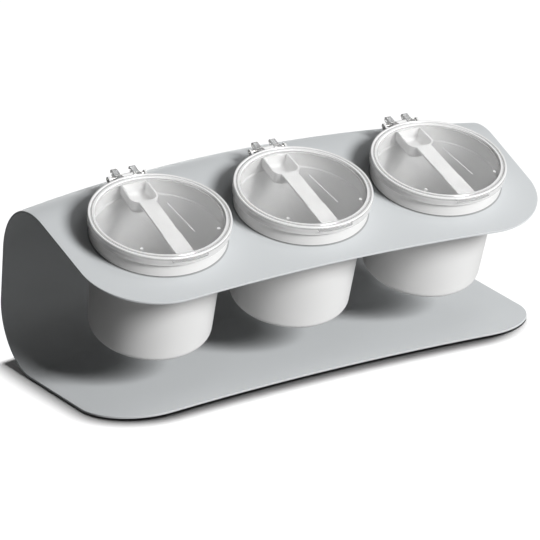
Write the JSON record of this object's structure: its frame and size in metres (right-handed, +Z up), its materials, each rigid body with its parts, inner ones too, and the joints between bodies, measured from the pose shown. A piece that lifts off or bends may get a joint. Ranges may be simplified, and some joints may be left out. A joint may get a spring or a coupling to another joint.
{
  "type": "seasoning box",
  "caption": "Bent sheet stand with a sloping top plate that holds lidded round cups, each with a hinged clear lid and a spoon across its mouth.",
  "frame": {"origin": "on the table, straight below the point where the middle cup's axis meets the top face of the sloping plate", "axes": "+X along the row of cups, left to right seen from the front; +Y to the back, where the sheet is bent and the lids are hinged; +Z up"},
  "size_m": [0.3522, 0.1972, 0.1418],
  "materials": {
    "sheet": "satin light grey coat",
    "cup": "smooth white",
    "spoon": "polished white",
    "lid": "clear, polished",
    "pin": "drawn wire",
    "pad": "matte, closed-cell"
  },
  "bodies": {
    "stand": {"stand": "sheet", "base_pad": "pad"},
    "cup_left": {"cup_left": "cup", "spoon_left": "spoon", "hinge_pin_left": "pin"},
    "lid_left": {"lid_left": "lid"},
    "cup_middle": {"cup_middle": "cup", "spoon_middle": "spoon", "hinge_pin_middle": "pin"},
    "lid_middle": {"lid_middle": "lid"},
    "cup_right": {"cup_right": "cup", "spoon_right": "spoon", "hinge_pin_right": "pin"},
    "lid_right": {"lid_right": "lid"}
  },
  "joints": [
    {"name": "cup_left_lift", "type": "slide", "parent": "stand", "child": "cup_left", "axis": [0, -0.3584, 0.9336], "range_m": [0, 0.075]},
    {"name": "lid_left_hinge", "type": "hinge", "parent": "cup_left", "child": "lid_left", "pos_m": [-0.1036, 0.04473, 0.13704], "axis": [-1, 0, 0], "range_deg": [0, 120]},
    {"name": "cup_middle_lift", "type": "slide", "parent": "stand", "child": "cup_middle", "axis": [0, -0.3584, 0.9336], "range_m": [0, 0.075]},
    {"name": "lid_middle_hinge", "type": "hinge", "parent": "cup_middle", "child": "lid_middle", "pos_m": [0, 0.04473, 0.13704], "axis": [-1, 0, 0], "range_deg": [0, 120]},
    {"name": "cup_right_lift", "type": "slide", "parent": "stand", "child": "cup_right", "axis": [0, -0.3584, 0.9336], "range_m": [0, 0.075]},
    {"name": "lid_right_hinge", "type": "hinge", "parent": "cup_right", "child": "lid_right", "pos_m": [0.1036, 0.04473, 0.13704], "axis": [-1, 0, 0], "range_deg": [0, 120]}
  ]
}
